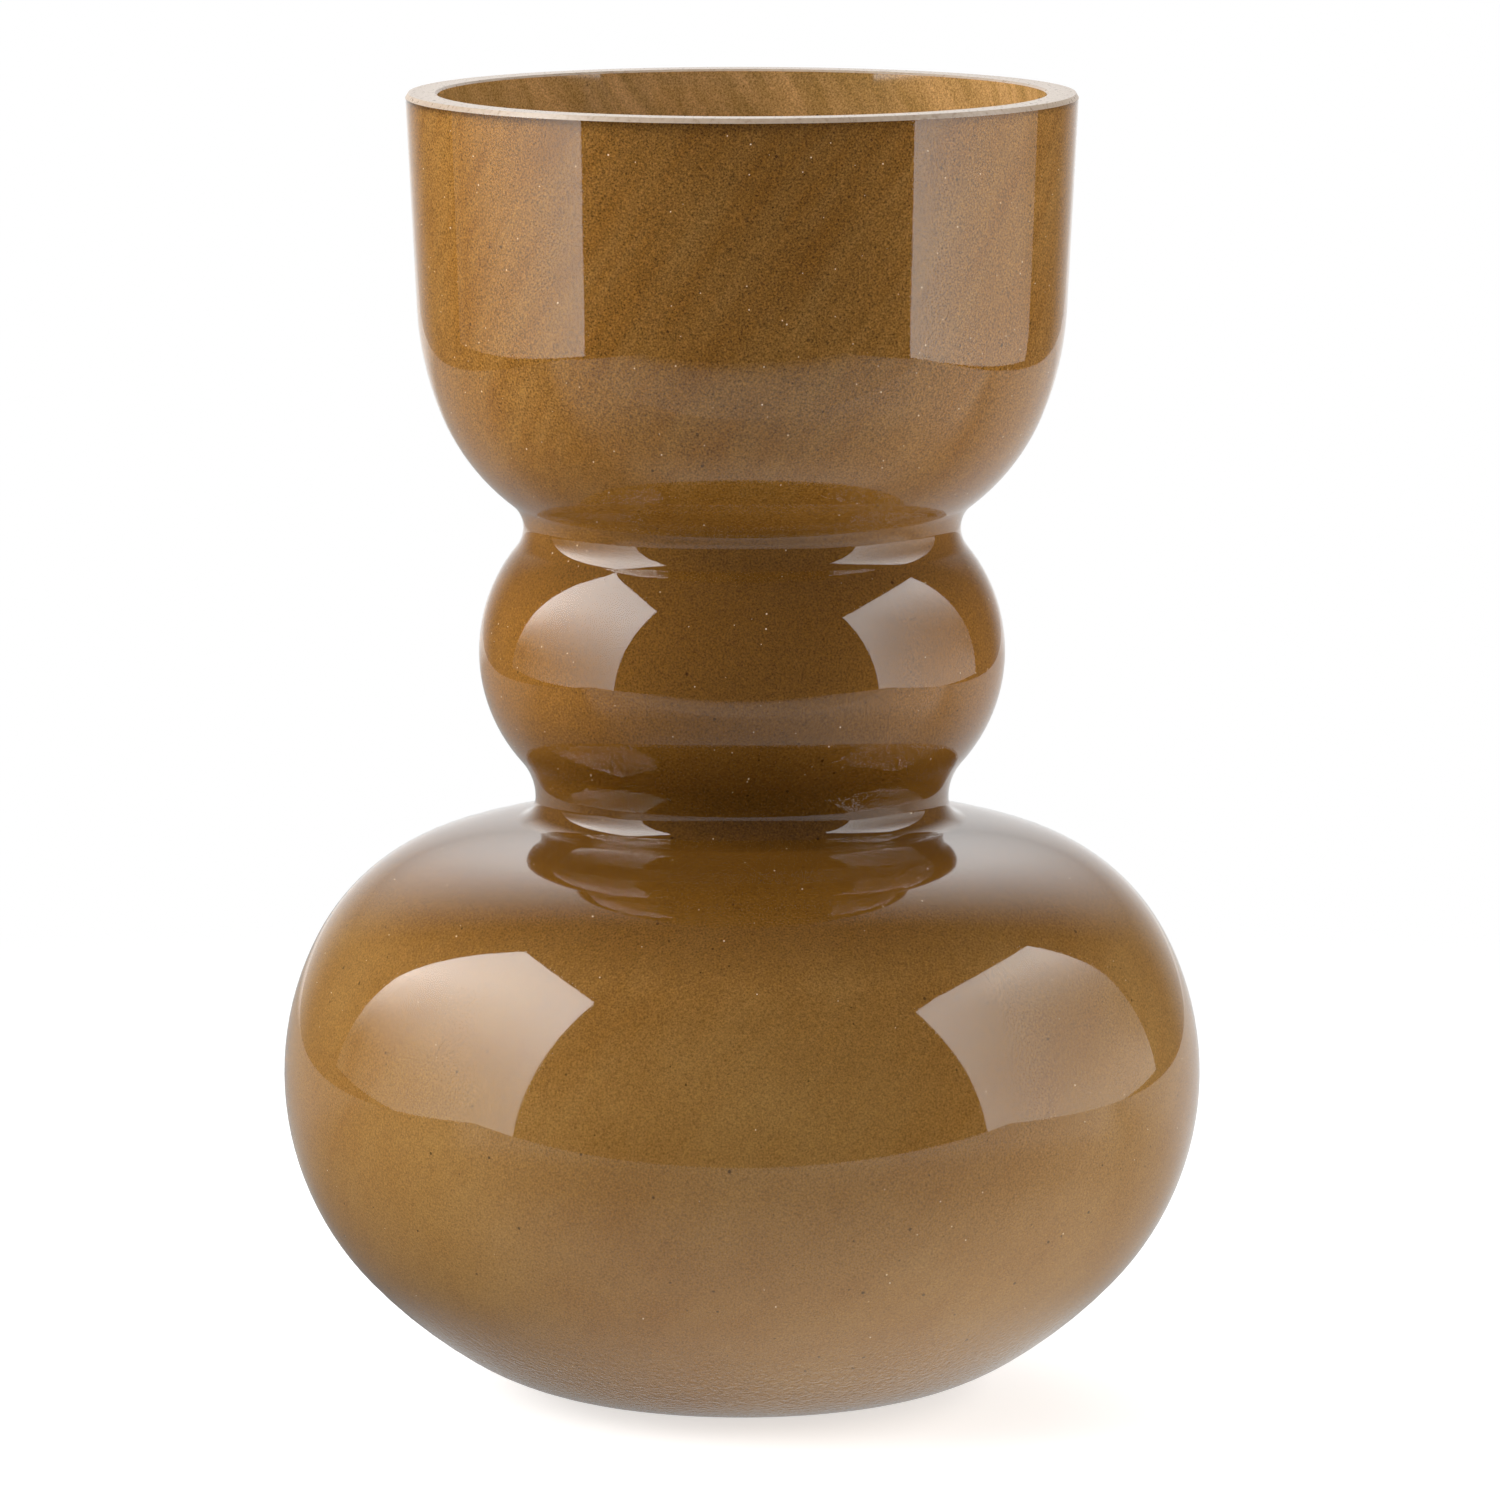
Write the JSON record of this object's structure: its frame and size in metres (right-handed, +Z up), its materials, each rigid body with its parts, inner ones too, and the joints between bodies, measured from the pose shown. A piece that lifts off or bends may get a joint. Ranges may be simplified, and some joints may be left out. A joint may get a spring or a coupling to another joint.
{
  "type": "gourd vase",
  "caption": "Heavy glass vase with a round bulb, a bead and a straight-sided bowl stacked one above the other, open at a ground flat rim.",
  "frame": {"origin": "centre of the ring that the vase stands on, at the lowest point", "axes": "+Z up along the vase's axis of turning, +X and +Y level"},
  "size_m": [0.2112, 0.2112, 0.3],
  "materials": {
    "clear_glass": "gloss",
    "amber_glass": "gloss"
  },
  "bodies": {
    "root": {"clear_casing": "clear_glass", "colour_layer": "amber_glass"}
  },
  "joints": []
}
